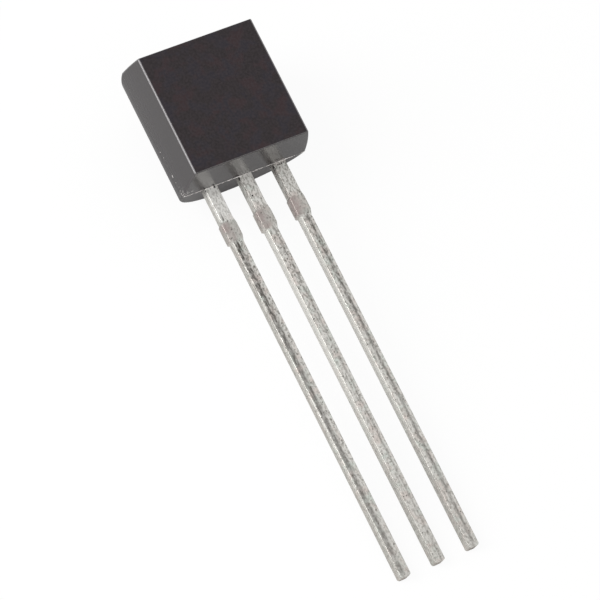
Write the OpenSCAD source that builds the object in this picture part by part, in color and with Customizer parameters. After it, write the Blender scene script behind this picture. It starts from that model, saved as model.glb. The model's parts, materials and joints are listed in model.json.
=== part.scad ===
/* [Moulded body] */
// Width of the body across the parting plane
body_w = 4.58; // [4.3:0.02:5.2]
// Height of the body along the leads, at the parting plane
body_h = 4.67; // [4.3:0.01:5.3]
// Depth from the flat to the parting plane
flat_depth = 1.35; // [1.1:0.05:1.6]
// Depth from the parting plane to the crown of the round back
back_depth = 2.28; // [1.8:0.02:2.6]
// Draft of the mould, in degrees, on every wall that leaves the parting plane
draft = 8.3; // [4:0.1:12]
// How far each side wall bows out between the flat and the parting plane
side_bow = 0.045; // [0.01:0.005:0.05]
// Radius on the flat's two long edges and on the ends of the back's crown
edge_r = 0.06; // [0.02:0.01:0.15]
// Radius on the flat's two short edges
end_edge_r = 0.03; // [0.02:0.01:0.1]

/* [Mould marks] */
// How far the flash at the parting line stands proud of the walls
flash_proud = 0.02; // [0.01:0.005:0.05]
// Thickness of the flash along the parting line
flash_t = 0.04; // [0.02:0.01:0.08]
// Width of the broken gate on top of the body
gate_w = 0.9; // [0.4:0.1:1.4]
// Thickness of the broken gate
gate_t = 0.16; // [0.1:0.02:0.3]
// How far the broken gate stands above the body
gate_proud = 0.06; // [0.03:0.01:0.12]
// Diameter of the ejector pin that left its mark on the back
ejector_d = 1.2; // [0.8:0.1:1.6]
// Height of the ejector mark's centre above the body's lower edge
ejector_z = 2.34; // [1.6:0.02:2.8]
// How deep the ejector mark's rim is sunk where it is shallowest
ejector_sink = 0.02; // [0.01:0.005:0.05]

/* [Leads outside the body] */
// Distance between neighbouring leads
lead_pitch = 1.27; // [1.25:0.01:1.3]
// Thickness of the strip that the leads are blanked from
lead_t = 0.42; // [0.36:0.01:0.5]
// Width of a lead between the body and the dam bar
shank_w = 0.44; // [0.4:0.01:0.5]
// Width of a lead below the dam bar
leg_w = 0.37; // [0.3:0.01:0.42]
// Length of a lead from the body's lower edge to its tip
lead_length = 14.1; // [12.7:0.1:15]
// Distance from the body's lower edge to the dam bar
dam_top = 1.26; // [1.1:0.02:1.6]
// Height of the dam bar along the lead
dam_h = 0.72; // [0.5:0.02:0.9]
// Width of a lead across the two sheared stubs of the dam bar
dam_w = 0.51; // [0.5:0.01:0.6]
// Length of the small step at each end of the left stub, which is cut square
dam_step = 0.03; // [0.02:0.01:0.1]
// Length of the slope at each end of the right stub, which the shear has drawn out
dam_slope = 0.22; // [0.06:0.02:0.3]
// How far the right stub's slopes reach past the left stub's ends
dam_reach = 0.08; // [0.02:0.01:0.12]
// Bevel along the four long edges of a lead
lead_bevel = 0.02; // [0.01:0.005:0.06]
// Radius at the corners of a lead's cut tip
tip_r = 0.08; // [0.02:0.01:0.12]

/* [Lead frame inside the body] */
// Height at which the two outer leads widen into their bond posts
post_z = 0.75; // [0.5:0.05:0.9]
// Height of a bond post
post_h = 0.8; // [0.5:0.05:0.9]
// Width of a bond post
post_w = 0.78; // [0.6:0.02:0.8]
// Height of the die pad's lower edge
pad_z = 1.95; // [1.85:0.05:2.1]
// Height of the die pad
pad_h = 1.75; // [1.4:0.05:1.8]
// Width of the die pad
pad_w = 2.1; // [1.6:0.05:2.4]
// Bevel at the corners of the pad and of the posts
frame_bevel = 0.12; // [0.05:0.01:0.2]

/* [Chip and bonds] */
// Width of the silicon chip
chip_w = 1.0; // [0.7:0.05:1.2]
// Height of the silicon chip
chip_h = 0.9; // [0.7:0.05:1.1]
// Thickness of the silicon chip
chip_t = 0.24; // [0.15:0.01:0.35]
// Distance from the pad's lower edge to the chip, which leaves room for a bond above the chip
chip_low = 0.22; // [0.15:0.01:0.3]
// Thickness of the adhesive under the chip
attach_t = 0.03; // [0.02:0.005:0.05]
// How far the adhesive creeps out past the chip's edge
attach_fillet = 0.08; // [0.04:0.01:0.12]
// Diameter of a bond wire
wire_d = 0.05; // [0.04:0.005:0.06]
// Height of a bond wire's arch above the straight line between its ends
wire_arch = 0.24; // [0.2:0.01:0.36]
// Diameter of the ball that welds a wire to the chip
ball_d = 0.11; // [0.1:0.01:0.14]
// Height of a ball or of a stitch
bond_h = 0.04; // [0.03:0.005:0.05]
// Diameter of the stitch that welds a wire to the frame
stitch_d = 0.13; // [0.12:0.01:0.16]
// Distance from the chip's edges to the centres of its bond pads
bond_inset = 0.16; // [0.12:0.01:0.2]
// Distance from the pad's upper edge to the anode wire's stitch
stitch_inset = 0.18; // [0.12:0.01:0.22]

/* [Hidden] */

epoxy_black = "#3b3738";
tinned_copper = "#bdb9b4";
silicon_grey = "#5a5f6b";
silver_adhesive = "#c9c6bf";
gold = "#d9b24a";

ARC_STEPS = 5;
BOW_STEPS = 6;
FAR = 20;
ROUND = 96;
WIRE_ROUND = 24;

// The body is drawn upright first: X across, Y from the flat into the body with the parting
// plane at 0, Z up from the body's lower edge, and the leads' front faces on the parting plane.

// Point on the line from p to q, at the distance d from p
function towards(p, q, d) = p + d * (q - p) / norm(q - p);

// The corner at q of the path p, q, r, turned into an arc of the given radius
function round_corner(p, q, r, radius) =
    let (half = acos((p - q) * (r - q) / (norm(p - q) * norm(r - q))) / 2,
         into = (towards(q, p, 1) + towards(q, r, 1)) / 2,
         centre = towards(q, into, radius / sin(half)),
         start = towards(q, p, radius / tan(half)) - centre,
         end = towards(q, r, radius / tan(half)) - centre,
         a = atan2(start.y, start.x),
         turn = (atan2(end.y, end.x) - a + 540) % 360 - 180)
    [for (i = [0:ARC_STEPS]) centre + radius * [cos(a + turn * i / ARC_STEPS),
                                                sin(a + turn * i / ARC_STEPS)]];

// A polygon's points with a radius for each corner, 0 for a sharp one
function rounded(points, radii) =
    [for (i = [0:len(points) - 1])
        each radii[i] == 0 ? [points[i]]
            : round_corner(points[(i + len(points) - 1) % len(points)], points[i],
                           points[(i + 1) % len(points)], radii[i])];

// Points between p and q on an arc that stands out from the line by the given rise, to the
// right of the way from p to q
function bow(p, q, rise) =
    let (half = norm(q - p) / 2,
         r = (half * half + rise * rise) / (2 * rise),
         way = (q - p) / (2 * half),
         out = [way.y, -way.x])
    [for (i = [1:BOW_STEPS - 1])
        let (u = half * (2 * i / BOW_STEPS - 1))
        (p + q) / 2 + u * way + (sqrt(r * r - u * u) - r + rise) * out];

// Outline of the body from the side, as [y, z]
front_inset = flat_depth * tan(draft);
back_inset = back_depth * tan(draft);
side_outline = rounded(
    [[-flat_depth, front_inset], [0, 0], [back_depth, back_inset],
     [back_depth, body_h - back_inset], [0, body_h], [-flat_depth, body_h - front_inset]],
    [end_edge_r, 0, edge_r, edge_r, 0, end_edge_r]);

// Outline of the body's front half from the end of the leads, as [x, y]
right_wall = bow([body_w / 2 - front_inset, -flat_depth], [body_w / 2, 0], side_bow);
left_wall = bow([-body_w / 2, 0], [-body_w / 2 + front_inset, -flat_depth], side_bow);
no_radii = [for (i = [1:BOW_STEPS - 1]) 0];
front_outline = rounded(
    concat([[-body_w / 2, 0]], left_wall, [[-body_w / 2 + front_inset, -flat_depth]],
           [[body_w / 2 - front_inset, -flat_depth]], right_wall, [[body_w / 2, 0]]),
    concat([0], no_radii, [edge_r, edge_r], no_radii, [0]));

// Arc of the round back: through both ends of the parting line and the crown, or a full half
// circle on straight walls where the back is deeper than half the width
back_r = back_depth < body_w / 2 ? (pow(body_w / 2, 2) + pow(back_depth, 2)) / (2 * back_depth)
                                 : body_w / 2;
back_centre = back_depth - back_r;
back_wall = max(0, back_centre);

// How deep the ejector pin's flat end lies below the crown
ejector_depth = back_r - sqrt(pow(back_r, 2) - pow(ejector_d / 2, 2)) + ejector_sink;

// The part lies on its back: the crown's lower end and the lead tips touch the ground
lay_tilt = max([for (p = side_outline) atan2(p[0] - lead_t, p[1] + lead_length)]);
lay_lift = lead_length * sin(lay_tilt) + lead_t * cos(lay_tilt);

// How far along the ground an upright point at depth y and height z comes to lie
function along(y, z) = z * cos(lay_tilt) + y * sin(lay_tilt);
lay_top = max(concat([along(gate_t / 2, body_h + gate_proud),
                      along(flash_t / 2, body_h + flash_proud)],
                     [for (p = side_outline) along(p[0], p[1])]));
lay_tip = along(0, -lead_length);

module lay_down() {
    translate([0, -(lay_top + lay_tip) / 2, lay_lift]) rotate([lay_tilt - 90, 0, 0]) children();
}

// ---- Body ----

module body_plan() {
    polygon(front_outline);
    intersection() {
        translate([0, back_centre]) circle(r = back_r, $fn = ROUND);
        translate([-body_w / 2, back_wall]) square([body_w, back_depth]);
    }
    if (back_wall > 0) translate([-body_w / 2, 0]) square([body_w, back_wall]);
}

module body_block() {
    intersection() {
        translate([0, 0, -FAR / 2]) linear_extrude(FAR) body_plan();
        rotate([90, 0, 90]) linear_extrude(FAR, center = true) polygon(side_outline);
    }
}

module flash() {
    translate([-body_w / 2 - flash_proud, -flash_t / 2, -flash_proud])
        cube([body_w + 2 * flash_proud, flash_t, body_h + 2 * flash_proud]);
}

module gate() {
    translate([-gate_w / 2, -gate_t / 2, body_h - gate_proud])
        cube([gate_w, gate_t, 2 * gate_proud]);
}

module ejector_mark() {
    translate([0, back_depth - ejector_depth, ejector_z]) rotate([-90, 0, 0])
        cylinder(d = ejector_d, h = FAR, $fn = ROUND);
}

module moulded_body_upright() {
    difference() {
        union() {
            body_block();
            flash();
            gate();
        }
        ejector_mark();
        outer_lead(-1);
        middle_lead();
        outer_lead(1);
        chip();
        attach();
        wire_to_post(-1);
        wire_to_pad();
        wire_to_post(1);
    }
}

// ---- Leads ----

// Section of a lead of the given width, its front face at y = 0
module lead_section(w) {
    b = lead_bevel;
    polygon([[-w / 2 + b, 0], [w / 2 - b, 0], [w / 2, b], [w / 2, lead_t - b],
             [w / 2 - b, lead_t], [-w / 2 + b, lead_t], [-w / 2, lead_t - b], [-w / 2, b]]);
}

// A flat blank cut to an outline of [x, z] points, its front face at y = 0
module blank(outline) {
    translate([0, lead_t, 0]) rotate([90, 0, 0]) linear_extrude(lead_t) polygon(outline);
}

// A rectangle [left, low, width, height] with bevelled corners
function bevelled(x, z, w, h, b) =
    [[x + b, z], [x + w - b, z], [x + w, z + b], [x + w, z + h - b],
     [x + w - b, z + h], [x + b, z + h], [x, z + h - b], [x, z + b]];

module leg_with_tip() {
    intersection() {
        translate([0, 0, -lead_length])
            linear_extrude(lead_length - dam_top - dam_h) lead_section(leg_w);
        blank(rounded([[-leg_w / 2, -lead_length], [leg_w / 2, -lead_length], [leg_w / 2, 0],
                       [-leg_w / 2, 0]],
                      [tip_r, tip_r, 0, 0]));
    }
}

module dam_bar_stubs() {
    low = -dam_top - dam_h;
    blank([[-leg_w / 2, low - dam_reach], [leg_w / 2, low - dam_reach],
           [dam_w / 2, low - dam_reach + dam_slope], [dam_w / 2, -dam_top + dam_reach - dam_slope],
           [shank_w / 2, -dam_top + dam_reach], [-shank_w / 2, -dam_top + dam_reach],
           [-shank_w / 2, -dam_top], [-dam_w / 2, -dam_top - dam_step],
           [-dam_w / 2, low + dam_step], [-leg_w / 2, low]]);
}

// The lead from its tip up to the height where it widens inside the body
module lead_up_to(height) {
    leg_with_tip();
    dam_bar_stubs();
    translate([0, 0, -dam_top]) linear_extrude(dam_top + height) lead_section(shank_w);
}

module outer_lead(side) {
    translate([side * lead_pitch, 0, 0]) {
        lead_up_to(post_z);
        blank(bevelled(-post_w / 2, post_z, post_w, post_h, frame_bevel));
    }
}

module middle_lead() {
    lead_up_to(pad_z);
    blank(bevelled(-pad_w / 2, pad_z, pad_w, pad_h, frame_bevel));
}

// ---- Chip and adhesive ----

chip_z = pad_z + chip_low;
chip_face = -attach_t - chip_t;

module chip() {
    translate([-chip_w / 2, chip_face, chip_z]) cube([chip_w, chip_t, chip_h]);
}

module attach() {
    w = chip_w + 2 * attach_fillet;
    h = chip_h + 2 * attach_fillet;
    translate([-w / 2, -attach_t, chip_z - attach_fillet]) cube([w, attach_t, h]);
}

// ---- Bond wires ----

// A short disc on a surface that faces the flat
module bond(at, d) {
    translate(at) rotate([90, 0, 0]) cylinder(d = d, h = bond_h, $fn = ROUND);
}

// A wire that arches from a ball on the chip to a stitch on the frame, both [x, y, z].
// The arc is drawn flat, with the run along +X and the arch towards +Y, which is the flat's side.
module bond_wire(ball, stitch) {
    run = norm([stitch.x - ball.x, stitch.z - ball.z]);
    drop = stitch.y - ball.y;
    chord = norm([run, drop]);
    arc_r = (pow(chord / 2, 2) + pow(wire_arch, 2)) / (2 * wire_arch);
    half = 2 * atan2(wire_arch, chord / 2);
    bond(ball, ball_d);
    bond(stitch, stitch_d);
    translate(ball - [0, wire_d / 2, 0])
        rotate([0, -atan2(stitch.z - ball.z, stitch.x - ball.x), 0]) rotate([180, 0, 0])
            rotate([0, 0, -atan2(drop, run)]) translate([chord / 2, wire_arch - arc_r, 0])
                rotate([0, 0, 90 - half]) rotate_extrude(angle = 2 * half, $fn = ROUND)
                    translate([arc_r, 0]) circle(d = wire_d, $fn = WIRE_ROUND);
}

bond_low = chip_z + bond_inset;
bond_high = chip_z + chip_h - bond_inset;

module wire_to_post(side) {
    bond_wire([side * (chip_w / 2 - bond_inset), chip_face, bond_low],
              [side * lead_pitch, 0, post_z + post_h / 2]);
}

module wire_to_pad() {
    bond_wire([0, chip_face, bond_high], [0, 0, pad_z + pad_h - stitch_inset]);
}

// ---- Nodes, lying on their back ----

module moulded_body() color(epoxy_black) lay_down() moulded_body_upright();
module reference_lead() color(tinned_copper) lay_down() outer_lead(-1);
module anode_lead() color(tinned_copper) lay_down() middle_lead();
module cathode_lead() color(tinned_copper) lay_down() outer_lead(1);
module regulator_chip() color(silicon_grey) lay_down() chip();
module die_attach() color(silver_adhesive) lay_down() attach();
module reference_wire() color(gold) lay_down() wire_to_post(-1);
module anode_wire() color(gold) lay_down() wire_to_pad();
module cathode_wire() color(gold) lay_down() wire_to_post(1);

moulded_body();
reference_lead();
anode_lead();
cathode_lead();
regulator_chip();
die_attach();
reference_wire();
anode_wire();
cathode_wire();
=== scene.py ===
import json
import math

import bmesh
import bpy
from mathutils import Matrix, Vector

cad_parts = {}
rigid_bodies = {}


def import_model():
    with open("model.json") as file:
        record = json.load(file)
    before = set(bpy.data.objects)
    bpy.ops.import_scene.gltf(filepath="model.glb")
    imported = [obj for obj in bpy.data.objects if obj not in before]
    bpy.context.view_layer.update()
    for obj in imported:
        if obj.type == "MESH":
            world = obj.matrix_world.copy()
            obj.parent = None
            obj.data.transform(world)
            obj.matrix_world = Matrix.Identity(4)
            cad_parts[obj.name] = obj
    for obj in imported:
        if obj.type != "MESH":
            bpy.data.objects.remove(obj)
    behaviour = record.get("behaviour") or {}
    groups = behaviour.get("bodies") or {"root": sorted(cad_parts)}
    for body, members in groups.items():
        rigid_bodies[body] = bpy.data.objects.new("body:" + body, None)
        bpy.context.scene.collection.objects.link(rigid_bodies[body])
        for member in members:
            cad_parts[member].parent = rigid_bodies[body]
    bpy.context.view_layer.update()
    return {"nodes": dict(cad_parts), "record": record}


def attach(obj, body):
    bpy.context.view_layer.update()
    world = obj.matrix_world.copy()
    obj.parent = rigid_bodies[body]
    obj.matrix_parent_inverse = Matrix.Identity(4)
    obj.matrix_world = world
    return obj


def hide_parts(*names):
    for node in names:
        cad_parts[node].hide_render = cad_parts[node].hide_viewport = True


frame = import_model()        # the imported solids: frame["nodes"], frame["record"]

MM = 0.001

# ---- How the part lies ----
# The part lies on its round back with the lead tips on the ground, so it leans a few degrees.
# Every piece is drawn upright, in millimetres: X across the leads, Y from the flat into the
# body with the parting plane at 0, Z up from the body's lower edge, and the leads along -Z.

mounts = {mount["name"]: mount for mount in frame["record"]["mounts"]}
flat_centre = Vector(mounts["flat"]["pos_m"])
flat_normal = Vector(mounts["flat"]["axis"])

flat_depth = 1.35
body_h = 4.67
lean = math.atan2(-flat_normal.y, flat_normal.z)
turn = Matrix.Rotation(lean - math.pi / 2, 4, "X")
flat_upright = Vector((0, -flat_depth, body_h / 2)) * MM
LIE = Matrix.Translation(flat_centre) @ turn @ Matrix.Translation(-flat_upright) @ Matrix.Scale(MM, 4)
STAND = LIE.inverted()


# ---- The three leads ----
# Blanked side by side from one copper strip and plated with matte tin. Each is 0.42 mm thick,
# wider by the body, with the sheared stubs of the dam bar below that, and a cut tip. Inside
# the epoxy the outer two end in bond posts and the middle one in the pad that holds the chip.

lead_t = 0.42
lead_pitch = 1.27
lead_length = 14.1
shank_w = 0.44          # between the body and the dam bar
leg_w = 0.37            # below the dam bar
dam_w = 0.51
dam_top = 1.26
dam_low = 1.98
dam_step = 0.03         # the left stub is cut square
dam_slope = 0.22        # the right stub is drawn out by the shear
dam_reach = 0.08
tip_r = 0.08
rolled_r = 0.022        # the long edges, rounded by the punch and by the tin on them
tip_edge_r = 0.012      # the same edges by the tip
sheared_r = 0.015       # the stubs' edges, cut after plating
frame_bevel = 0.12
post = (0.75, 0.8, 0.78)        # height of its lower edge, its own height, its width
pad = (1.95, 1.75, 2.1)
ring_spacing = 0.035    # close enough to carry the relief of the plating
buried_from = 0.2       # above here the epoxy hides the lead, and its rings stand further apart
buried_spacing = 0.3
face_columns = (14, 10, 6, 10)  # on the front, the right side, the back and the left side
corner_columns = 3


def between(line, z):
    """The half width at the height z of a side drawn as (height, half width) points."""
    for (low, first), (high, last) in zip(line, line[1:]):
        if low <= z <= high:
            return first + (last - first) * (z - low) / (high - low)


def lead_stations(head):
    """Half widths up a lead as (height, left, right, edge radius), from the tip to the head's end."""
    head_z, head_h, head_w = head
    leg, shank, bar = leg_w / 2, shank_w / 2, dam_w / 2
    arcs = [math.radians(15 * step) for step in range(7)]
    foot = [(-lead_length + tip_r * (1 - math.cos(a)), leg - tip_r * (1 - math.sin(a))) for a in arcs]
    left = [(-dam_low - dam_reach, leg), (-dam_low, leg), (-dam_low + dam_step, bar),
            (-dam_top - dam_step, bar), (-dam_top, shank), (-dam_top + dam_reach, shank)]
    right = [(-dam_low - dam_reach, leg), (-dam_low - dam_reach + dam_slope, bar),
             (-dam_top + dam_reach - dam_slope, bar), (-dam_top + dam_reach, shank)]
    heights = sorted({z for z, half in left + right})
    top = head_z + head_h
    inside = [(head_z, shank, sheared_r), (head_z, head_w / 2 - frame_bevel, sheared_r),
              (head_z + frame_bevel, head_w / 2, sheared_r), (top - frame_bevel, head_w / 2, sheared_r),
              (top, head_w / 2 - frame_bevel, sheared_r)]
    return ([(z, half, half, tip_edge_r) for z, half in foot]
            + [(z, between(left, z), between(right, z), rolled_r if z == heights[0] else sheared_r)
               for z in heights]
            + [(z, half, half, r) for z, half, r in inside])


def lead_ring(left, right, r):
    """The lead's section as (x, y) points, its front face at y = 0, going round from the left."""
    corners = [(-left + r, r, 180), (right - r, r, 270),
               (right - r, lead_t - r, 0), (-left + r, lead_t - r, 90)]
    ring = []
    for index, (cx, cy, start) in enumerate(corners):
        arc = [math.radians(start + 90 * step / corner_columns) for step in range(corner_columns + 1)]
        ring += [(cx + r * math.cos(a), cy + r * math.sin(a)) for a in arc]
        x, y = ring[-1]
        nx, ny, nstart = corners[(index + 1) % 4]
        end_x = nx + r * math.cos(math.radians(nstart))
        end_y = ny + r * math.sin(math.radians(nstart))
        parts = [step / face_columns[index] for step in range(1, face_columns[index])]
        ring += [(x + (end_x - x) * part, y + (end_y - y) * part) for part in parts]
    return ring


def mark_upright(mesh, centre=0.0):
    """Stores each point's upright place in millimetres, which the finishes are laid out on."""
    places = mesh.attributes.get("upright_mm") or mesh.attributes.new("upright_mm", "FLOAT_VECTOR", "POINT")
    for place, vertex in zip(places.data, mesh.vertices):
        place.vector = STAND @ vertex.co - Vector((centre, 0, 0))


def lead_mesh(name, centre, head):
    """A closed loft through the stations, with rings close enough together to carry the relief."""
    levels = []
    stations = lead_stations(head)
    for low, high in zip(stations, stations[1:]):
        spacing = ring_spacing if high[0] < buried_from else buried_spacing
        steps = max(1, round((high[0] - low[0]) / spacing))
        for step in range(steps):
            part = step / steps
            levels.append([a + (b - a) * part for a, b in zip(low, high)])
    levels.append(stations[-1])
    shape = bmesh.new()
    rings = []
    for z, left, right, r in levels:
        rings.append([shape.verts.new((centre + x, y, z)) for x, y in lead_ring(left, right, r)])
    for low, high in zip(rings, rings[1:]):
        for index in range(len(low)):
            after = (index + 1) % len(low)
            shape.faces.new((low[index], low[after], high[after], high[index]))
    shape.faces.new(reversed(rings[0]))
    shape.faces.new(rings[-1])
    shape.transform(LIE)
    bmesh.ops.recalc_face_normals(shape, faces=shape.faces)
    mesh = bpy.data.meshes.new(name)
    shape.to_mesh(mesh)
    shape.free()
    mark_upright(mesh, centre)
    for face in mesh.polygons:
        face.use_smooth = len(face.vertices) == 4
    return mesh


def add(tree, kind, inputs=None, **settings):
    """Adds a node with its settings. Its inputs are given values, or joined to outputs or to nodes."""
    node = tree.nodes.new(kind)
    for key, value in settings.items():
        setattr(node, key, value)
    for key, value in (inputs or {}).items():
        if isinstance(value, bpy.types.Node):
            value = value.outputs[0]
        if isinstance(value, bpy.types.NodeSocket):
            tree.links.new(value, node.inputs[key])
        else:
            node.inputs[key].default_value = value
    return node


def linear(colour):
    """An sRGB hex colour as the linear colour that a shader takes."""
    parts = [int(colour[i:i + 2], 16) / 255 for i in (1, 3, 5)]
    return [p / 12.92 if p <= 0.04045 else ((p + 0.055) / 1.055) ** 2.4 for p in parts] + [1]


def new_finish(name, fixed):
    """A material with its shader, whose fixed inputs are given, ready for a finish to be built on."""
    finish = bpy.data.materials.new(name)
    finish.use_nodes = True
    finish.node_tree.nodes.clear()
    tree = finish.node_tree
    shader = add(tree, "ShaderNodeBsdfPrincipled", fixed)
    add(tree, "ShaderNodeOutputMaterial", {"Surface": shader})
    return finish, tree, shader


def product(tree, *factors, **blend):
    """The product of factors. One given as (value, from, to, least, most) is ramped between those."""
    result = None
    for factor in factors:
        if isinstance(factor, tuple):
            factor = add(tree, "ShaderNodeMapRange", dict(enumerate(factor)), **blend)
        if result is None:
            result = factor
        else:
            result = add(tree, "ShaderNodeMath", {0: result, 1: factor}, operation="MULTIPLY")
    return result


def laid_over(tree, colour, layers):
    """The colour under layers, each of them a colour and the factors that say how far it shows."""
    for hue, *factors in layers:
        inputs = {0: product(tree, *factors), 6: colour, 7: linear(hue)}
        colour = add(tree, "ShaderNodeMix", inputs, data_type="RGBA").outputs[2]
    return colour


# Matte tin on copper: a soft, light grey metal with a coarse, sparkling grain, darker in its pits and rubbed
# streaks, and thin over the sheared stubs, where the copper warms it. The real grain is finer, and is drawn
# as coarse as it needs to show. Painted light brightens the shank by the body, a painted sheen lightens the
# side faces, painted shade darkens the tips where they come down to the floor, and dark specks, mostly
# painted shade, mark the gaps where the leads leave the epoxy.

tin_light = "#dddbd6"
painted_tin_light = "#f2f1ed"
tin_dull = "#a29f99"
tin_cool = "#d3d8d1"
tin_warm = "#d8cfc9"
pit_dark = "#57534f"
copper_wash = "#a99a97"
cut_copper = "#86796f"
exit_gap_shade = "#2a2526"
tin_grain_mm = 0.07
tin_cloud_mm = 0.4
pore_spacing_mm = 0.08
rolled_stretch = 0.5    # the grain is drawn out along the lead
rubbed_stretch = 0.3
burnish = (0.14, 0.2)   # depth from the front face over which the punch's burnish ends
coarser_up = (-6.0, -3.5)       # heights between which the grain grows to its full strength
clearer_up = (-7.0, -3.5)       # the same for the rubbed streak
side_sheen_up = (-lead_length, -7.0)      # the same for the painted sheen on the side faces
tip_shade_down = (-10.0, -lead_length)     # the same for the painted shade at the tip, where it nears the floor
tin_roughness = (0.36, 0.5)
tin_bump_mm = 0.008
down_the_lead = (LIE.to_3x3() @ Vector((0, 0, -1))).normalized()


def tinned_copper(name, seed, tones, shade_specks):
    """One lead's finish. Its tones are how much painted light brightens the shank by the body and how much
    painted sheen lightens the side faces, then how dull the back of the side and the long edges are."""
    finish, tree, shader = new_finish(name, {"Metallic": 1.0})
    shank_painted_light, side_painted_sheen, side_dull, edge_dull = tones
    spot = add(tree, "ShaderNodeAttribute", attribute_name="upright_mm").outputs["Vector"]
    depth, height = add(tree, "ShaderNodeSeparateXYZ", {0: spot}).outputs[1:]
    bar, bare, streak, pit = (add(tree, "ShaderNodeAttribute", attribute_name=mark).outputs["Fac"]
                              for mark in ("bar", "bare", "streak", "pit"))

    place = add(tree, "ShaderNodeVectorMath", {0: spot, 1: (0, 0, seed)}, operation="ADD")
    fields = []
    for stretch, size, detail in ((rolled_stretch, tin_grain_mm, 2), (1, tin_cloud_mm, 3),
                                  (1, tin_grain_mm, 3), (rubbed_stretch, tin_grain_mm, 3)):
        drawn_out = add(tree, "ShaderNodeVectorMath", {0: place, 1: (1, 1, stretch)}, operation="MULTIPLY")
        noise = {"Vector": drawn_out, "Scale": 1 / size, "Detail": detail, "Roughness": 0.6}
        fields.append(add(tree, "ShaderNodeTexNoise", noise))
    grain, cloud, ragged, scuffs = fields
    cool, warm = add(tree, "ShaderNodeSeparateColor", {0: cloud.outputs["Color"]}).outputs[1:]
    pores = add(tree, "ShaderNodeTexVoronoi", {"Vector": place, "Scale": 1 / pore_spacing_mm})
    pore_hue = add(tree, "ShaderNodeSeparateColor", {0: pores.outputs["Color"]})

    # Painted light: the shank just below the body is brightened, by a share set for each lead.
    shank = product(tree, (height, -dam_top - 0.1, -dam_top + 0.25), shank_painted_light)
    calm = product(tree, (bar, 0, 1, 1, 0.7), (shank, 0, 1, 1, 0.4), (height, *coarser_up, 0.75, 1))
    least_rubbed = product(tree, (height, *clearer_up, 0.45, 0.15))
    rubbed = product(tree, streak, (height, *clearer_up, 0.75, 1), (scuffs, 0.38, 0.58, least_rubbed, 1))
    dark = add(tree, "ShaderNodeMath", {0: rubbed, 1: pit}, operation="MAXIMUM")

    normal = add(tree, "ShaderNodeNewGeometry").outputs["Normal"]
    across = add(tree, "ShaderNodeSeparateXYZ", {0: normal})
    sideways = add(tree, "ShaderNodeMath", {0: across}, operation="ABSOLUTE")
    on_side = product(tree, (sideways, 0.8, 0.97))
    endways = add(tree, "ShaderNodeVectorMath", {0: normal, 1: down_the_lead}, operation="DOT_PRODUCT")

    layers = [(tin_cool, (cool, 0.5, 0.66)),
              (tin_warm, (warm, 0.5, 0.66)),
              # painted light on the shank
              (painted_tin_light, shank),
              (tin_dull, (grain, 0.46, 0.62), calm),
              (pit_dark, (pores, 0.4, 0.15), (pore_hue, 0.45, 0.5), calm, 0.6),
              (tin_dull, bar, 0.4),
              (copper_wash, bare, (ragged, 0.3, 0.6, 0.5, 1)),
              (pit_dark, dark),
              (tin_dull, (sideways, 0.15, 0.4), (sideways, 0.97, 0.8), edge_dull),
              # painted sheen: the side faces are lightened, less towards the tip
              (painted_tin_light, on_side, (height, 0.1 - dam_low, -dam_low), (height, *side_sheen_up), side_painted_sheen),
              (tin_dull, on_side, (depth, *burnish), side_dull),
              (cut_copper, (endways.outputs["Value"], 0.8, 0.95, 0, 0.8)),
              # painted shade: the tip is darkened where it comes down to the floor
              (tin_dull, (height, *tip_shade_down, 0, 0.3))]
    # Dark specks, mostly painted shade of the gaps and voids where the lead leaves the epoxy.
    for centre, radius in shade_specks:
        away = add(tree, "ShaderNodeVectorMath", {0: spot, 1: centre}, operation="DISTANCE")
        layers.append((exit_gap_shade, (away.outputs["Value"], radius, radius * 0.6)))
    tree.links.new(laid_over(tree, linear(tin_light), layers), shader.inputs["Base Color"])
    tree.links.new(product(tree, (cloud, 0.3, 0.7, *tin_roughness)).outputs[0], shader.inputs["Roughness"])
    bump = add(tree, "ShaderNodeBump", {"Height": grain, "Strength": 0.5, "Distance": tin_bump_mm * MM})
    tree.links.new(bump.outputs[0], shader.inputs["Normal"])
    return finish


# The relief of the plating, laid on each lead by one tree: a fine grain, scattered pits and a
# die line down the front. It also marks the sheared stubs, and where they are rubbed bare.

grain_size_mm = 0.09
grain_height_mm = 0.0045
pit_spacing_mm = 0.11
pit_depth_mm = 0.008
pit_share = 0.45
streak_depth_mm = 0.01
swing_mm = 5 / 3        # the streak swings to and fro about this far apart
swing_width_mm = 0.06
tear_mm = 5 / 11        # the size of the breaks in it


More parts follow.
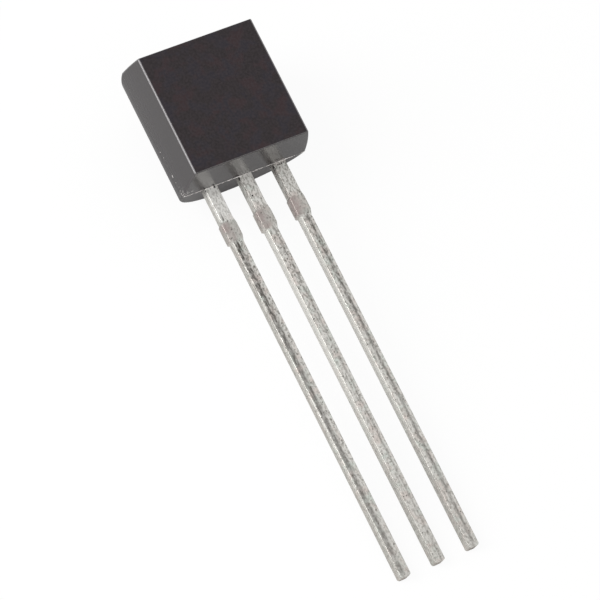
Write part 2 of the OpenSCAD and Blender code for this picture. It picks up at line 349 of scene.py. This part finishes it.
def plating_relief(finish):
    tree = bpy.data.node_groups.new("plating relief", "GeometryNodeTree")
    tree.interface.new_socket("Geometry", in_out="INPUT", socket_type="NodeSocketGeometry")
    for socket in ("Grain size", "Grain height", "Pit spacing", "Pit depth", "Streak place", "Streak width",
                   "Streak depth", "Streak shade", "Seed"):
        tree.interface.new_socket(socket, in_out="INPUT", socket_type="NodeSocketFloat")
    tree.interface.new_socket("Geometry", in_out="OUTPUT", socket_type="NodeSocketGeometry")
    given = add(tree, "NodeGroupInput").outputs
    soft = {"interpolation_type": "SMOOTHSTEP"}

    place = add(tree, "GeometryNodeInputNamedAttribute", {"Name": "upright_mm"}, data_type="FLOAT_VECTOR")
    shift = add(tree, "ShaderNodeCombineXYZ", {"Z": given["Seed"]})
    seeded = add(tree, "ShaderNodeVectorMath", {0: place, 1: shift}, operation="ADD")
    across, depth, height = add(tree, "ShaderNodeSeparateXYZ", {0: place}).outputs
    outside = product(tree, (height, -0.02, -0.12), **soft)

    per_mm = add(tree, "ShaderNodeMath", {0: 1.0, 1: given["Grain size"]}, operation="DIVIDE")
    grain = add(tree, "ShaderNodeTexNoise", {"Vector": seeded, "Scale": per_mm, "Detail": 2.0})
    hollow = product(tree, grain, given["Grain height"])

    per_mm = add(tree, "ShaderNodeMath", {0: 1.0, 1: given["Pit spacing"]}, operation="DIVIDE")
    cells = add(tree, "ShaderNodeTexVoronoi", {"Vector": seeded, "Scale": per_mm})
    cell_hue = add(tree, "ShaderNodeSeparateXYZ", {0: cells.outputs["Color"]})
    chosen = add(tree, "ShaderNodeMath", {0: cell_hue, 1: 1 - pit_share}, operation="GREATER_THAN")
    pit = product(tree, (cells, 0.34, 0.12), chosen, outside, **soft)

    swing = add(tree, "ShaderNodeTexNoise", {"Vector": seeded, "Scale": 1 / swing_mm, "Detail": 2.0})
    swing = add(tree, "ShaderNodeMath", {0: swing, 1: 0.5}, operation="SUBTRACT")
    swing = product(tree, swing, swing_width_mm)
    middle = add(tree, "ShaderNodeMath", {0: given["Streak place"], 1: swing}, operation="ADD")
    aside = add(tree, "ShaderNodeMath", {0: across, 1: middle}, operation="SUBTRACT")
    aside = add(tree, "ShaderNodeMath", {0: aside}, operation="ABSOLUTE")
    width = product(tree, given["Streak width"], (height, -9.0, -5.0, 0.85, 1.0))
    off = add(tree, "ShaderNodeMath", {0: aside, 1: width}, operation="DIVIDE")
    broken = add(tree, "ShaderNodeTexNoise", {"Vector": seeded, "Scale": 1 / tear_mm, "Detail": 3.0})
    streak = product(tree, (off, 1.0, 0.2), (broken, 0.15, 0.45), (height, 0.1 - dam_low, -0.1 - dam_low),
                     (height, 0.02 - lead_length, 0.25 - lead_length), (depth, lead_t / 2, 0.02), **soft)

    bar = product(tree, (height, 0.02 - dam_top, -0.06 - dam_top), (height, -0.02 - dam_low, 0.08 - dam_low),
                  **soft)
    tear = add(tree, "ShaderNodeMath", {0: broken, 1: 0.5}, operation="SUBTRACT")
    torn = add(tree, "ShaderNodeMath", {0: across, 1: product(tree, tear, 0.5)}, operation="ADD")
    bare = product(tree, bar, (torn, 0.12, -0.16), (broken, 0.25, 0.6), **soft)

    pitted = product(tree, pit, given["Pit depth"])
    scored = product(tree, streak, given["Streak depth"])
    drop = add(tree, "ShaderNodeMath", {0: pitted, 1: scored}, operation="ADD")
    drop = add(tree, "ShaderNodeMath", {0: hollow, 1: drop}, operation="ADD")
    sunk = {0: add(tree, "GeometryNodeInputNormal"), "Scale": product(tree, drop, outside, -MM)}
    offset = add(tree, "ShaderNodeVectorMath", sunk, operation="SCALE")
    shape = add(tree, "GeometryNodeSetPosition", {"Geometry": given["Geometry"], "Offset": offset})
    marks = {"pit": pit, "streak": product(tree, streak, given["Streak shade"]), "bar": bar, "bare": bare}
    for mark, value in marks.items():
        stored = {"Geometry": shape, "Name": mark, "Value": value}
        shape = add(tree, "GeometryNodeStoreNamedAttribute", stored, data_type="FLOAT", domain="POINT")
    shape = add(tree, "GeometryNodeRealizeInstances", {"Geometry": shape})
    shape = add(tree, "GeometryNodeSetMaterial", {"Geometry": shape, "Material": finish})
    add(tree, "NodeGroupOutput", {"Geometry": shape})
    return tree


def grow(piece, tree, sizes):
    """Adds a tree to a piece as a modifier, with its named inputs set to the sizes."""
    modifier = piece.modifiers.new(tree.name, "NODES")
    modifier.node_group = tree
    for socket in tree.interface.items_tree:
        if socket.name in sizes:
            modifier[socket.identifier] = sizes[socket.name]


def settle(piece, name):
    """The piece with its modifiers worked in: a plain mesh under its own name."""
    bpy.context.view_layer.update()
    shaped = piece.evaluated_get(bpy.context.evaluated_depsgraph_get())
    plain = bpy.data.objects.new(name, bpy.data.meshes.new_from_object(shaped))
    plain.data.name = name
    bpy.context.scene.collection.objects.link(plain)
    bpy.data.objects.remove(piece)
    return plain


def make_lead(node, side, head, seed, tones, streak, shade_specks):
    streak_place, streak_width, streak_shade = streak
    finish = tinned_copper(f"matte tin on copper, {node.replace('_', ' ')}", seed, tones, shade_specks)
    raw = bpy.data.objects.new(f"{node}_raw", lead_mesh(node, side * lead_pitch, head))
    bpy.context.scene.collection.objects.link(raw)
    grow(raw, plating_relief(finish), {
        "Grain size": grain_size_mm, "Grain height": grain_height_mm, "Pit spacing": pit_spacing_mm,
        "Pit depth": pit_depth_mm, "Streak place": streak_place, "Streak width": streak_width,
        "Streak depth": streak_depth_mm, "Streak shade": streak_shade, "Seed": seed})
    lead = settle(raw, f"{node}_tinned")
    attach(lead, "root")
    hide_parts(node)
    return lead


# A streak is given by its place, width and shade, and a dark speck by its centre and radius; the specks are
# mostly painted shade, for the gaps where the lead leaves the epoxy.

# Each lead's tones set its painted light on the shank and its painted sheen on the sides, then how dull the
# back of its side and its long edges are.
make_lead("reference_lead", -1, post, seed=7.3, tones=(0.75, 0.0, 0.55, 0.15), streak=(-0.07, 0.14, 1.0),
          shade_specks=[((-0.22, 0.04, -0.06), 0.05), ((0.11, 0, -0.04), 0.045)])
make_lead("anode_lead", 0, pad, seed=29.7, tones=(0.3, 0.55, 0.3, 0.5), streak=(0.068, 0.05, 0.6),
          shade_specks=[((-0.22, 0.11, -0.05), 0.085), ((-0.11, 0, -0.76), 0.035)])
make_lead("cathode_lead", 1, post, seed=61.3, tones=(0.0, 0.55, 0.3, 0.5), streak=(0.033, 0.085, 0.9),
          shade_specks=[((-0.22, 0.12, -0.09), 0.07), ((-0.22, 0.16, -0.19), 0.04), ((-0.09, 0, -0.1), 0.03),
                  ((-0.02, 0, -0.1), 0.03), ((0.05, 0, -0.09), 0.03), ((0.12, 0, -0.08), 0.025)])

# ---- The die attach ----
# A thin layer of epoxy filled with silver flake, squeezed out under the chip and cured on the
# pad. Its flakes make it a pale, speckled grey with a dull shine.

flake_mm = 0.02


def silver_adhesive():
    finish, tree, shader = new_finish("silver-filled epoxy", {"Roughness": 0.5, "Metallic": 0.4})
    place = add(tree, "ShaderNodeTexCoord").outputs["Object"]
    flakes = add(tree, "ShaderNodeTexNoise", {"Vector": place, "Scale": 1 / (flake_mm * MM), "Detail": 2})
    tree.links.new(laid_over(tree, linear("#c4c1ba"), [("#8f8c86", flakes)]), shader.inputs["Base Color"])
    return finish


def finish_node(node, finish):
    """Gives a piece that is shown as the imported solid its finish."""
    frame["nodes"][node].data.materials.clear()
    frame["nodes"][node].data.materials.append(finish)


finish_node("die_attach", silver_adhesive())

# ---- The chip ----
# A piece sawn from a polished silicon wafer, with the regulator's circuit etched in its front
# face. It shines a dark blue grey, crossed by the paler squares of the metal layer.

circuit_cell_mm = 0.08


def silicon():
    finish, tree, shader = new_finish("etched silicon", {"Roughness": 0.18, "Metallic": 0.6})
    place = add(tree, "ShaderNodeTexCoord").outputs["Object"]
    squares = {"Vector": place, "Scale": 1 / (circuit_cell_mm * MM)}
    cells = add(tree, "ShaderNodeTexVoronoi", squares, distance="CHEBYCHEV")
    tree.links.new(laid_over(tree, linear("#4b5a6e"), [("#8d8a76", cells)]), shader.inputs["Base Color"])
    return finish


finish_node("regulator_chip", silicon())

# ---- The bond wires ----
# Three gold wires, 0.05 mm thick, welded with a ball on the chip and a stitch on the frame.
# Drawn through a die, they are a clear yellow with fine changes in their shine.

drawn_mm = 0.03


def gold():
    finish, tree, shader = new_finish("drawn gold wire", {"Base Color": linear("#e0b24c"), "Metallic": 1.0})
    place = add(tree, "ShaderNodeTexCoord").outputs["Object"]
    drawn = add(tree, "ShaderNodeTexNoise", {"Vector": place, "Scale": 1 / (drawn_mm * MM), "Detail": 2})
    tree.links.new(product(tree, (drawn, 0, 1, 0.15, 0.35)).outputs[0], shader.inputs["Roughness"])
    return finish


wire_finish = gold()
for node in ("reference_wire", "anode_wire", "cathode_wire"):
    finish_node(node, wire_finish)

# ---- The moulded body ----
# One transfer moulding of black, silica-filled epoxy round the lead frame. Its walls leave the
# parting plane with a draft, its edges are only just rounded, and a thin, crumbled flash marks
# where the mould's halves met, with the broken stump of the gate on the closed end.

body_w = 4.58
back_depth = 2.28
draft = math.tan(math.radians(8.3))
side_bow = 0.045
crown_r = 0.06
flat_edge_r = 0.045     # the flat's two long edges
end_edge_r = 0.03       # the flat's two short edges
corner_r = 0.1          # the four corners at the parting plane, from which the radius falls away
back_columns = 72
bow_columns = 8


def arc_between(first, last, rise, steps):
    """Points on an arc from first to last, which bows out to the left of that way by the rise."""
    chord = last - first
    half = chord.length / 2
    r = (half * half + rise * rise) / (2 * rise)
    along = chord.normalized()
    out = Vector((-along.y, along.x))
    centre = (first + last) / 2 + out * (rise - r)
    reach = math.asin(min(1, half / r))
    angles = [reach * (2 * step / steps - 1) for step in range(steps + 1)]
    return [centre + along * (r * math.sin(a)) + out * (r * math.cos(a)) for a in angles]


def body_block():
    """The outside of the moulding: the flat, the bowed and drafted side walls, and the round back."""
    inset = flat_depth * draft
    flat_left = Vector((-body_w / 2 + inset, -flat_depth))
    flat_right = Vector((body_w / 2 - inset, -flat_depth))
    left = Vector((-body_w / 2, 0))
    right = Vector((body_w / 2, 0))
    plan = (arc_between(flat_left, left, side_bow, bow_columns)
            + arc_between(left, right, back_depth, back_columns)[1:]
            + arc_between(right, flat_right, side_bow, bow_columns)[1:])
    shape = bmesh.new()
    low = [shape.verts.new((p.x, p.y, abs(p.y) * draft)) for p in plan]
    high = [shape.verts.new((p.x, p.y, body_h - abs(p.y) * draft)) for p in plan]
    for index in range(len(plan)):
        after = (index + 1) % len(plan)
        shape.faces.new((low[index], low[after], high[after], high[index]))
    for rim in (low, high):
        shape.faces.new(rim[:bow_columns + 1] + rim[-bow_columns - 1:])
        shape.faces.new(rim[bow_columns:-bow_columns])
    bmesh.ops.recalc_face_normals(shape, faces=shape.faces)
    weights = shape.edges.layers.float.new("bevel_weight_edge")
    for edge in shape.edges:
        if edge.calc_face_angle() > math.radians(30):
            one, two = (vertex.co for vertex in edge.verts)
            depth = (one.y + two.y) / 2
            if depth < -flat_depth * 0.999:
                radius = end_edge_r if abs(one.z - two.z) < body_h / 2 else flat_edge_r
            elif depth < 0:
                radius = corner_r + (end_edge_r - corner_r) * -depth / flat_depth
            else:
                radius = corner_r + (crown_r - corner_r) * depth / back_depth
            edge[weights] = radius / corner_r
    shape.transform(LIE)
    mesh = bpy.data.meshes.new("moulded_body")
    shape.to_mesh(mesh)
    shape.free()
    return mesh


def copy_of_node(node):
    """A CAD node's mesh as one closed, merged piece, to cut with."""
    shape = bmesh.new()
    shape.from_mesh(frame["nodes"][node].data)
    bmesh.ops.remove_doubles(shape, verts=shape.verts, dist=1e-4 * MM)
    mesh = bpy.data.meshes.new(f"{node}_cutter")
    shape.to_mesh(mesh)
    shape.free()
    return bpy.data.objects.new(f"{node}_cutter", mesh)


cutters = bpy.data.collections.new("cutters")
for node in ("reference_lead", "anode_lead", "cathode_lead", "regulator_chip", "die_attach",
             "reference_wire", "anode_wire", "cathode_wire"):
    cutters.objects.link(copy_of_node(node))
bpy.context.scene.collection.children.link(cutters)

# The round mark that an ejector pin left on the back.

ejector_r = 0.6
ejector_z = 2.34
ejector_sink = 0.02
ejector_mesh = bpy.data.meshes.new("ejector mark")
back_r = ((body_w / 2) ** 2 + back_depth ** 2) / (2 * back_depth)
ejector_face = back_depth - back_r + math.sqrt(back_r ** 2 - ejector_r ** 2) - ejector_sink
shape = bmesh.new()
bmesh.ops.create_cone(shape, cap_ends=True, segments=96, radius1=ejector_r, radius2=ejector_r, depth=2,
                      matrix=LIE @ Matrix.Translation((0, ejector_face + 1, ejector_z))
                      @ Matrix.Rotation(math.pi / 2, 4, "X"))
shape.to_mesh(ejector_mesh)
shape.free()
cutters.objects.link(bpy.data.objects.new("ejector mark", ejector_mesh))

# The finish: matte black epoxy. The flat carries the grain of the spark-eroded mould, drawn coarser than the
# real one so that it shows. The drafted walls are a little smoother, and painted a little lighter than the
# end facets as a painted sheen. The flat's long edges and the ends' corners are painted paler, partly for
# wear and partly as a painted highlight, and the flash is pale where it is thin and crumbled.

flat_black = "#1b1416"
flat_tints = ("#28181b", "#1c1820")
flat_pale = "#322b2e"
wall_sheen_black = "#353233"
worn_and_highlight_black = "#5a5658"
facet_black = "#2e292a"
flash_pale = "#dfdad7"
dusty_corner = (-2.15, -0.1, 0.05)
mould_grain_mm = 0.08
mottle_mm = 0.5
mould_bump_mm = 0.004
wall_rough, flat_rough, worn_rough, back_rough = 0.24, 0.55, 0.35, 0.42
facet_shine, flat_shine, back_shine = 0.6, 0.32, 0.2
back_from = (0, 0.06)   # depths behind the parting plane over which the back's finish takes over


def moulded_epoxy():
    finish, tree, shader = new_finish("moulded black epoxy", {})
    place = add(tree, "ShaderNodeAttribute", attribute_name="upright_mm").outputs["Vector"]
    flat, wear_and_highlight, flash = (add(tree, "ShaderNodeAttribute", attribute_name=mark).outputs["Fac"]
                         for mark in ("on_flat", "on_edge", "flash"))
    depth = add(tree, "ShaderNodeSeparateXYZ", {0: place}).outputs[1]
    normal = add(tree, "ShaderNodeNewGeometry").outputs["Normal"]
    across = add(tree, "ShaderNodeSeparateXYZ", {0: normal})
    on_side = product(tree, (add(tree, "ShaderNodeMath", {0: across}, operation="ABSOLUTE"), 0.5, 0.9))

    grain = add(tree, "ShaderNodeTexNoise", {"Vector": place, "Scale": 1 / mould_grain_mm, "Detail": 3})
    mottle = add(tree, "ShaderNodeTexNoise", {"Vector": place, "Scale": 1 / mottle_mm, "Detail": 3})
    patches = add(tree, "ShaderNodeSeparateColor", {0: mottle.outputs["Color"]}).outputs
    mottled = [(tint, (patch, 0.48, 0.6)) for tint, patch in zip(flat_tints, patches)]
    sparked = laid_over(tree, linear(flat_black), mottled + [(flat_pale, (grain, 0.35, 0.65, 0, 0.5))])
    # Painted sheen: the side walls are a little lighter than the end facets.
    drafted = laid_over(tree, linear(facet_black), [(wall_sheen_black, on_side)])
    colour = add(tree, "ShaderNodeMix", {0: flat, 6: drafted, 7: sparked}, data_type="RGBA").outputs[2]
    away = add(tree, "ShaderNodeVectorMath", {0: place, 1: dusty_corner}, operation="DISTANCE")
    dust = product(tree, (away.outputs["Value"], 0.45, 0.1), (grain, 0.55, 0.62))
    pale = add(tree, "ShaderNodeMath", {0: dust, 1: 0.35, 2: flash}, operation="MULTIPLY_ADD", use_clamp=True)
    # The edges are painted paler: partly wear, partly a painted highlight along the flat's long edges and the
    # corners.
    colour = laid_over(tree, colour, [(worn_and_highlight_black, wear_and_highlight), (flash_pale, pale)])
    tree.links.new(colour, shader.inputs["Base Color"])

    rough = product(tree, (flat, 0, 1, wall_rough, flat_rough))
    for most in ((wear_and_highlight, 0, 1, 0, worn_rough), (depth, *back_from, 0, back_rough)):
        rough = add(tree, "ShaderNodeMath", {0: rough, 1: product(tree, most)}, operation="MAXIMUM")
    tree.links.new(rough.outputs[0], shader.inputs["Roughness"])
    shine = facet_shine
    for share, level in ((on_side, product(tree, (depth, -1.2, 0, 0.5, 0.15))),
                         (product(tree, (depth, *back_from)), back_shine), (flat, flat_shine)):
        shine = add(tree, "ShaderNodeMix", {0: share, 2: shine, 3: level}, data_type="FLOAT")
    shine = add(tree, "ShaderNodeMath", {0: shine, 1: wear_and_highlight}, operation="MAXIMUM")
    tree.links.new(shine.outputs[0], shader.inputs["Specular IOR Level"])
    bump = add(tree, "ShaderNodeBump", {"Height": grain, "Strength": 0.5, "Distance": mould_bump_mm * MM})
    tree.links.new(bump.outputs[0], shader.inputs["Normal"])
    return finish


flash_points = 900      # along the flash's path
crumb_points = 700      # places for crumbs along it, most of them left empty
crumb_spread_mm = (0.002, 0.035, 0.002)
crumb_shrink = 0.9985   # draws the crumbs in until they stand on the wall
crumb_sizes = (0.6, 1.0)
chip_mm = 1 / 14        # the size of the breaks in the gate's stump


def flash_tree(finish):
    """The flash round the parting plane, its crumbs and the gate's stump, added to the body."""
    tree = bpy.data.node_groups.new("parting flash", "GeometryNodeTree")
    tree.interface.new_socket("Geometry", in_out="INPUT", socket_type="NodeSocketGeometry")
    for socket in ("Width", "Height", "Corner radius", "Flash radius", "Patch length", "Crumb radius",
                   "Side share", "Gate width", "Gate thickness", "Gate height", "Seed"):
        tree.interface.new_socket(socket, in_out="INPUT", socket_type="NodeSocketFloat")
    tree.interface.new_socket("Geometry", in_out="OUTPUT", socket_type="NodeSocketGeometry")
    given = add(tree, "NodeGroupInput").outputs

    outline = {"Width": given["Width"], "Height": given["Height"]}
    path = add(tree, "GeometryNodeCurvePrimitiveQuadrilateral", outline)
    corners = {"Curve": path, "Count": 6, "Radius": given["Corner radius"]}
    path = add(tree, "GeometryNodeFilletCurve", corners, mode="POLY")
    path = add(tree, "GeometryNodeTransform", {"Geometry": path, "Rotation": (math.pi / 2, 0, 0)})
    path = add(tree, "GeometryNodeResampleCurve", {"Curve": path, "Count": flash_points})

    place = add(tree, "GeometryNodeInputPosition")
    across, _, height = add(tree, "ShaderNodeSeparateXYZ", {0: place}).outputs
    shift = add(tree, "ShaderNodeCombineXYZ", {"X": given["Seed"]})
    seeded = add(tree, "ShaderNodeVectorMath", {0: place, 1: shift}, operation="ADD")
    per_mm = add(tree, "ShaderNodeMath", {0: 1.0, 1: given["Patch length"]}, operation="DIVIDE")
    ragged = {"Vector": seeded, "Scale": per_mm, "Detail": 4.0, "Roughness": 0.65}
    patches = add(tree, "ShaderNodeTexNoise", ragged)
    half_height = product(tree, given["Height"], 0.5)
    from_end = add(tree, "ShaderNodeMath", {0: height, 1: half_height}, operation="ADD")
    at_end = product(tree, (from_end, 0.05, 0.15, 1, 0))
    share = add(tree, "ShaderNodeMix", {0: at_end, 2: given["Side share"], 3: 1.0}, data_type="FLOAT")
    sideways = add(tree, "ShaderNodeMath", {0: across}, operation="ABSOLUTE")
    thick = product(tree, (patches, 0.47, 0.6, 0.05, 1), share, (sideways, 1.5, 1.9, 1, 0.2),
                    given["Flash radius"])
    profile = add(tree, "GeometryNodeCurvePrimitiveCircle", {"Resolution": 6, "Radius": 1.0})
    bead = add(tree, "GeometryNodeCurveToMesh", {"Curve": path, "Profile Curve": profile, "Scale": thick})
    stored = {"Geometry": bead, "Name": "flash", "Value": at_end}
    bead = add(tree, "GeometryNodeStoreNamedAttribute", stored, data_type="FLOAT", domain="POINT")

    clumped = product(tree, at_end, (patches, 0.44, 0.54, 0.35, 1))
    low_down = product(tree, (from_end, 1.9, 1.4, 0, 0.3))
    likely = add(tree, "ShaderNodeMath", {0: clumped, 1: low_down}, operation="MAXIMUM")
    chance = add(tree, "FunctionNodeRandomValue", {2: 0.0, 3: 1.0, "Seed": 6}, data_type="FLOAT").outputs[1]
    missing = add(tree, "ShaderNodeMath", {0: chance, 1: likely}, operation="GREATER_THAN")
    spread = {"Min": [-reach for reach in crumb_spread_mm], "Max": crumb_spread_mm, "Seed": 4}
    spread = add(tree, "FunctionNodeRandomValue", spread, data_type="FLOAT_VECTOR")
    least, most = crumb_sizes
    size = add(tree, "FunctionNodeRandomValue", {2: least, 3: most, "Seed": 9}, data_type="FLOAT").outputs[1]
    crumb_at = add(tree, "GeometryNodeCurveToPoints", {"Curve": path, "Count": crumb_points})
    crumb_at = add(tree, "GeometryNodeDeleteGeometry", {"Geometry": crumb_at, "Selection": missing})
    crumb_at = add(tree, "GeometryNodeSetPosition", {"Geometry": crumb_at, "Offset": spread})
    drawn_in = {"Geometry": crumb_at, "Scale": (crumb_shrink, 1, crumb_shrink)}
    crumb_at = add(tree, "GeometryNodeTransform", drawn_in)
    crumb = add(tree, "GeometryNodeMeshIcoSphere", {"Radius": given["Crumb radius"], "Subdivisions": 1})
    strewn = {"Points": crumb_at, "Instance": crumb, "Scale": size}
    crumbs = add(tree, "GeometryNodeInstanceOnPoints", strewn)
    crumbs = add(tree, "GeometryNodeRealizeInstances", {"Geometry": crumbs})
    stored = {"Geometry": crumbs, "Name": "flash", "Value": 1.0}
    crumbs = add(tree, "GeometryNodeStoreNamedAttribute", stored, data_type="FLOAT", domain="POINT")

    block = {"X": given["Gate width"], "Y": given["Gate thickness"],
             "Z": product(tree, given["Gate height"], 2.0)}
    block = add(tree, "ShaderNodeCombineXYZ", block)
    stump = {"Size": block, "Vertices X": 46, "Vertices Y": 9, "Vertices Z": 4}
    stump = add(tree, "GeometryNodeMeshCube", stump)
    chips = add(tree, "ShaderNodeTexNoise", {"Vector": place, "Scale": 1 / chip_mm, "Detail": 4.0})
    proud = add(tree, "ShaderNodeMath", {0: height, 1: 0.0}, operation="GREATER_THAN")
    broken = add(tree, "ShaderNodeCombineXYZ", {"Z": product(tree, chips, proud, given["Gate height"], -0.9)})
    stump = add(tree, "GeometryNodeSetPosition", {"Geometry": stump, "Offset": broken})
    on_end = add(tree, "ShaderNodeCombineXYZ", {"Z": half_height})
    stump = add(tree, "GeometryNodeTransform", {"Geometry": stump, "Translation": on_end})

    added = add(tree, "GeometryNodeJoinGeometry")
    for part in (bead, crumbs, stump):
        tree.links.new(part.outputs[0], added.inputs[0])
    laid = {"Geometry": added, "Scale": (MM, MM, MM), "Rotation": LIE.to_euler(),
            "Translation": LIE @ Vector((0, 0, body_h / 2))}
    added = add(tree, "GeometryNodeTransform", laid)
    whole = add(tree, "GeometryNodeJoinGeometry")
    tree.links.new(added.outputs[0], whole.inputs[0])
    tree.links.new(given["Geometry"], whole.inputs[0])
    shape = add(tree, "GeometryNodeRealizeInstances", {"Geometry": whole})
    shape = add(tree, "GeometryNodeSetMaterial", {"Geometry": shape, "Material": finish})
    add(tree, "NodeGroupOutput", {"Geometry": shape})
    return tree


body = bpy.data.objects.new("moulded_body_raw", body_block())
bpy.context.scene.collection.objects.link(body)
bevel = body.modifiers.new("worn edges", "BEVEL")
bevel.width = corner_r * MM
bevel.segments = 6
bevel.limit_method = "WEIGHT"
bevel.use_clamp_overlap = False
pockets = body.modifiers.new("lead frame", "BOOLEAN")
pockets.operation = "DIFFERENCE"
pockets.operand_type = "COLLECTION"
pockets.collection = cutters
pockets.solver = "EXACT"
grow(body, flash_tree(moulded_epoxy()), {
    "Width": body_w, "Height": body_h, "Corner radius": corner_r, "Flash radius": 0.028, "Patch length": 0.12,
    "Crumb radius": 0.021, "Side share": 0.2, "Gate width": 0.9, "Gate thickness": 0.16, "Gate height": 0.06,
    "Seed": 2.0})
body = settle(body, "moulded_body_epoxy")
for cutter in list(cutters.objects):
    bpy.data.objects.remove(cutter)
bpy.data.collections.remove(cutters)
mark_upright(body.data)
on_flat = body.data.attributes.new("on_flat", "FLOAT", "FACE")
on_edge = body.data.attributes.new("on_edge", "FLOAT", "FACE")
# Faces of the edges are marked for a paler colour, partly wear and partly a painted highlight.
flat_limit = 0.999      # how far a face of the flat looks along its normal
rim_limit = 0.32        # the same for the flat's long edges, paler from wear and a painted highlight
corner_limit = 0.05     # the same for the rounded corners of the end walls
corner_wear_and_highlight = 0.3
for index, face in enumerate(body.data.polygons):
    facing = face.normal.dot(flat_normal)
    sideways = abs(face.normal.x)
    on_flat.data[index].value = 1.0 if facing > flat_limit else 0.0
    if rim_limit < facing < flat_limit and sideways > 0.1:
        on_edge.data[index].value = 1.0
    elif corner_limit < facing < rim_limit and 0.15 < sideways < 0.95:
        on_edge.data[index].value = corner_wear_and_highlight
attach(body, "root")
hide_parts("moulded_body")

# ---- Floor ----
# A white sheet under the part. It shows as white to the camera, lights the underside of the tin
# a little, and still takes the part's soft shadow.

floor_half = 0.5
shown_white = 0.92
gloss_white = 0.25

floor_mesh = bpy.data.meshes.new("floor")
floor_mesh.from_pydata([(-floor_half, -floor_half, 0), (floor_half, -floor_half, 0),
                        (floor_half, floor_half, 0), (-floor_half, floor_half, 0)], [], [(0, 1, 2, 3)])
floor = bpy.data.objects.new("floor", floor_mesh)
bpy.context.scene.collection.objects.link(floor)
sheet, tree, shader = new_finish("white sheet", {"Base Color": linear("#f2f2f1"), "Roughness": 0.9,
                                                 "Specular IOR Level": 0.0})
seen = add(tree, "ShaderNodeLightPath").outputs
white = add(tree, "ShaderNodeEmission", {"Strength": 1.0})
looked = {0: seen["Is Camera Ray"], 1: seen["Is Transmission Ray"]}
looked = add(tree, "ShaderNodeMath", looked, operation="MAXIMUM")
share = {0: seen["Is Glossy Ray"], 1: gloss_white, 2: product(tree, looked, shown_white)}
share = add(tree, "ShaderNodeMath", share, operation="MULTIPLY_ADD")
mixed = add(tree, "ShaderNodeMixShader", {0: share, 1: shader, 2: white})
surface = next(node for node in tree.nodes if node.type == "OUTPUT_MATERIAL").inputs["Surface"]
tree.links.new(mixed.outputs[0], surface)
floor_mesh.materials.append(sheet)

# ---- Light ----
# A white tent of even light, with a soft box on the reference lead's side, which draws the
# bright line along the body's edge, and a weaker one beyond the tips, for a glint on the tin.

sky = bpy.data.worlds.new("white tent")
bpy.context.scene.world = sky
sky.use_nodes = True
sky.node_tree.nodes["Background"].inputs["Color"].default_value = (1, 1, 1, 1)
sky.node_tree.nodes["Background"].inputs["Strength"].default_value = 0.75


def soft_box(name, towards, distance, width, height, radiance):
    """A soft box in the given direction, facing the part, with its height along the body's walls."""
    lamp = bpy.data.lights.new(name, "AREA")
    lamp.shape = "RECTANGLE"
    lamp.size = width
    lamp.size_y = height
    lamp.energy = radiance * math.pi * width * height
    box = bpy.data.objects.new(name, lamp)
    away = Vector(towards).normalized()
    box.location = away * distance
    box.rotation_euler = away.to_track_quat("Z", "Y").to_euler()
    bpy.context.scene.collection.objects.link(box)
    return box


soft_box("side soft box", (-0.78, 0.2, 0.59), 0.15, 0.07, 0.12, 7.0)
glint = soft_box("glint on the shanks", (0.374, -0.56, 0.74), 0.15, 0.07, 0.07, 3.0)
glint.visible_diffuse = False

# ---- Camera ----
# A long lens that looks down on the flat from the reference lead's side, rolled so that the
# leads run down to the right.

heading = math.radians(48.89)       # of the line of sight, from +Y towards +X
fall = math.radians(60.23)          # of the line of sight below the horizon
roll = math.radians(23.13)
distance = 0.10214
target = Vector((-0.189, 0.181, 1.436)) * MM
lens = bpy.data.cameras.new("camera")
lens.lens = 190.7
lens.sensor_width = 36
lens.clip_start = 0.01
lens.clip_end = 5
camera = bpy.data.objects.new("camera", lens)
sight = Vector((math.sin(heading) * math.cos(fall), math.cos(heading) * math.cos(fall), -math.sin(fall)))
level = Vector((math.cos(heading), -math.sin(heading), 0))
upward = level.cross(sight)
right = level * math.cos(roll) + upward * math.sin(roll)
top = right.cross(sight)
aim = Matrix((right, top, -sight)).transposed().to_4x4()
camera.matrix_world = Matrix.Translation(target - sight * distance) @ aim
bpy.context.scene.collection.objects.link(camera)
bpy.context.scene.camera = camera
bpy.context.scene.view_settings.view_transform = "Standard"
